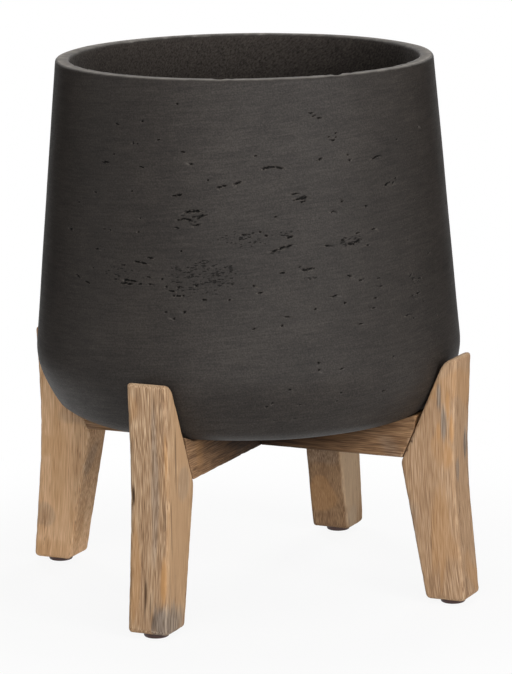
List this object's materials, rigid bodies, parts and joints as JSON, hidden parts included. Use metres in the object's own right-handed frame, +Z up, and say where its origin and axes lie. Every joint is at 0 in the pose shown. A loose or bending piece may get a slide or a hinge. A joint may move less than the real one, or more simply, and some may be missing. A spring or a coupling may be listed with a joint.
{
  "type": "planter with stand",
  "caption": "Round-shouldered dark fibre-cement planter pot set in a low wooden stand of crossed rails and chunky legs that rise round it as horns.",
  "frame": {"origin": "on the floor, under the axis of the pot", "axes": "+Z up along the pot's axis; +X along the left_right_rail to leg_right; +Y along the front_back_rail to leg_back"},
  "size_m": [0.3906, 0.3906, 0.436],
  "materials": {
    "fibre_cement": "matte",
    "black_rubber": "matte",
    "weathered_timber": "matte",
    "dowel_beech": "matte",
    "glide_plastic": "satin",
    "zinc_steel": "satin"
  },
  "bodies": {
    "stand": {"left_right_rail": "weathered_timber", "front_back_rail": "weathered_timber", "lap_screw": "zinc_steel", "leg_right": "weathered_timber", "dowels_right": "dowel_beech", "glide_right": "glide_plastic", "glide_nail_right": "zinc_steel", "leg_back": "weathered_timber", "dowels_back": "dowel_beech", "glide_back": "glide_plastic", "glide_nail_back": "zinc_steel", "leg_left": "weathered_timber", "dowels_left": "dowel_beech", "glide_left": "glide_plastic", "glide_nail_left": "zinc_steel", "leg_front": "weathered_timber", "dowels_front": "dowel_beech", "glide_front": "glide_plastic", "glide_nail_front": "zinc_steel"},
    "pot": {"pot": "fibre_cement"},
    "plug": {"drain_plug": "black_rubber"}
  },
  "joints": [
    {"name": "pot_lift", "type": "slide", "parent": "stand", "child": "pot", "axis": [0, 0, 1], "range_m": [0, 0.12]},
    {"name": "plug_pull", "type": "slide", "parent": "pot", "child": "plug", "axis": [0, 0, 1], "range_m": [0, 0.05]}
  ]
}
